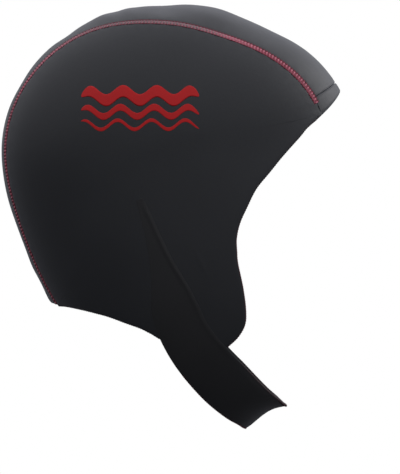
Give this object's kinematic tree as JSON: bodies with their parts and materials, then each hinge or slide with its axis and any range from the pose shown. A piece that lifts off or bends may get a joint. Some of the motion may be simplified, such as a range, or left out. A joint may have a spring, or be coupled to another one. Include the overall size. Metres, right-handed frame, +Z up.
{
  "type": "neoprene swim cap",
  "caption": "Soft neoprene swim cap with a centre crown strip, side panels with ear flaps, a folded brow band and a chin strap.",
  "frame": {"origin": "inside of the crown at its highest point, where the cap sits on the head", "axes": "+X is the wearer's front, +Y the wearer's left, +Z up"},
  "size_m": [0.2041, 0.1635, 0.2537],
  "materials": {
    "crown_neoprene": "black jersey-faced neoprene, satin sheen",
    "panel_neoprene": "black jersey-faced neoprene, soft satin",
    "strap_neoprene": "black jersey-faced neoprene, matte",
    "hook_fastener": "black hook-and-loop pile, matte",
    "seam_thread": "red polyester thread",
    "red_print": "red screen print, slightly raised, satin"
  },
  "bodies": {
    "root": {"crown_panel": "crown_neoprene", "brow_band": "crown_neoprene", "side_panel_right": "panel_neoprene", "side_panel_left": "panel_neoprene", "chin_strap": "strap_neoprene", "closure_patch": "hook_fastener"}
  },
  "joints": []
}
